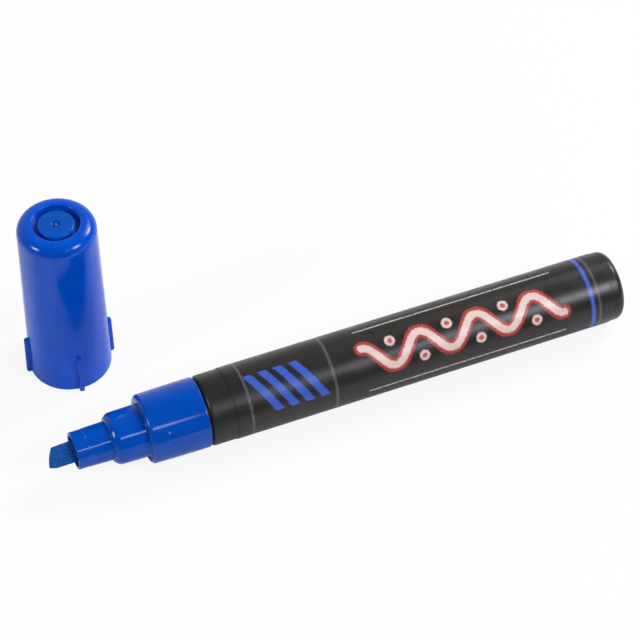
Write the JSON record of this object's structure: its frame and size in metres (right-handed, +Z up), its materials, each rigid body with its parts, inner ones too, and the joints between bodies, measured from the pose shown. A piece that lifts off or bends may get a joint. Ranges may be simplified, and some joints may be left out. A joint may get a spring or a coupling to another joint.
{
  "type": "liquid chalk marker",
  "caption": "Valve-action chalk marker with a stepped nozzle, chisel felt nib and labelled barrel, lying beside its ribbed push-on cap, which stands mouth down.",
  "frame": {"origin": "on the supporting surface, in the middle of the whole object's box", "axes": "+X along the pen from nib to tail, +Z up from the surface, +Y from the pen towards the cap"},
  "size_m": [0.1284, 0.0478, 0.0426],
  "materials": {
    "blue_plastic": "glossy moulded polypropylene",
    "black_plastic": "satin moulded polypropylene",
    "printed_film": "satin printed shrink film",
    "nib_felt": "ink-soaked felt",
    "white_plastic": "moulded acetal",
    "seat_rubber": "soft elastomer",
    "spring_steel": "drawn stainless wire",
    "ball_steel": "polished stainless"
  },
  "bodies": {
    "pen": {"barrel": "black_plastic", "label_sleeve": "printed_film", "nozzle": "blue_plastic", "valve_seat": "seat_rubber", "valve_cage": "white_plastic", "valve_spring": "spring_steel"},
    "nib": {"nib": "nib_felt"},
    "valve": {"valve_stem": "white_plastic"},
    "ball": {"mixing_ball": "ball_steel"},
    "cap": {"cap_shell": "blue_plastic", "cap_inner_seal": "blue_plastic"}
  },
  "joints": [
    {"name": "nib_press", "type": "slide", "parent": "pen", "child": "nib", "axis": [1, 0, 0], "range_m": [0, 0.002], "stiffness_N_per_m": 800, "springref_m": -0.0015},
    {"name": "valve_open", "type": "slide", "parent": "pen", "child": "valve", "axis": [1, 0, 0], "range_m": [0, 0.002], "deforming": ["valve_spring"]},
    {"name": "ball_run", "type": "slide", "parent": "pen", "child": "ball", "axis": [1, 0, 0], "range_m": [-0.0328, 0.0328]},
    {"name": "cap_lift", "type": "slide", "parent": "pen", "child": "cap", "axis": [0, 0, 1], "range_m": [0, 0.06]}
  ],
  "couplings": [
    {"joint": "valve_open", "follows": "nib_press", "ratio": 1}
  ]
}
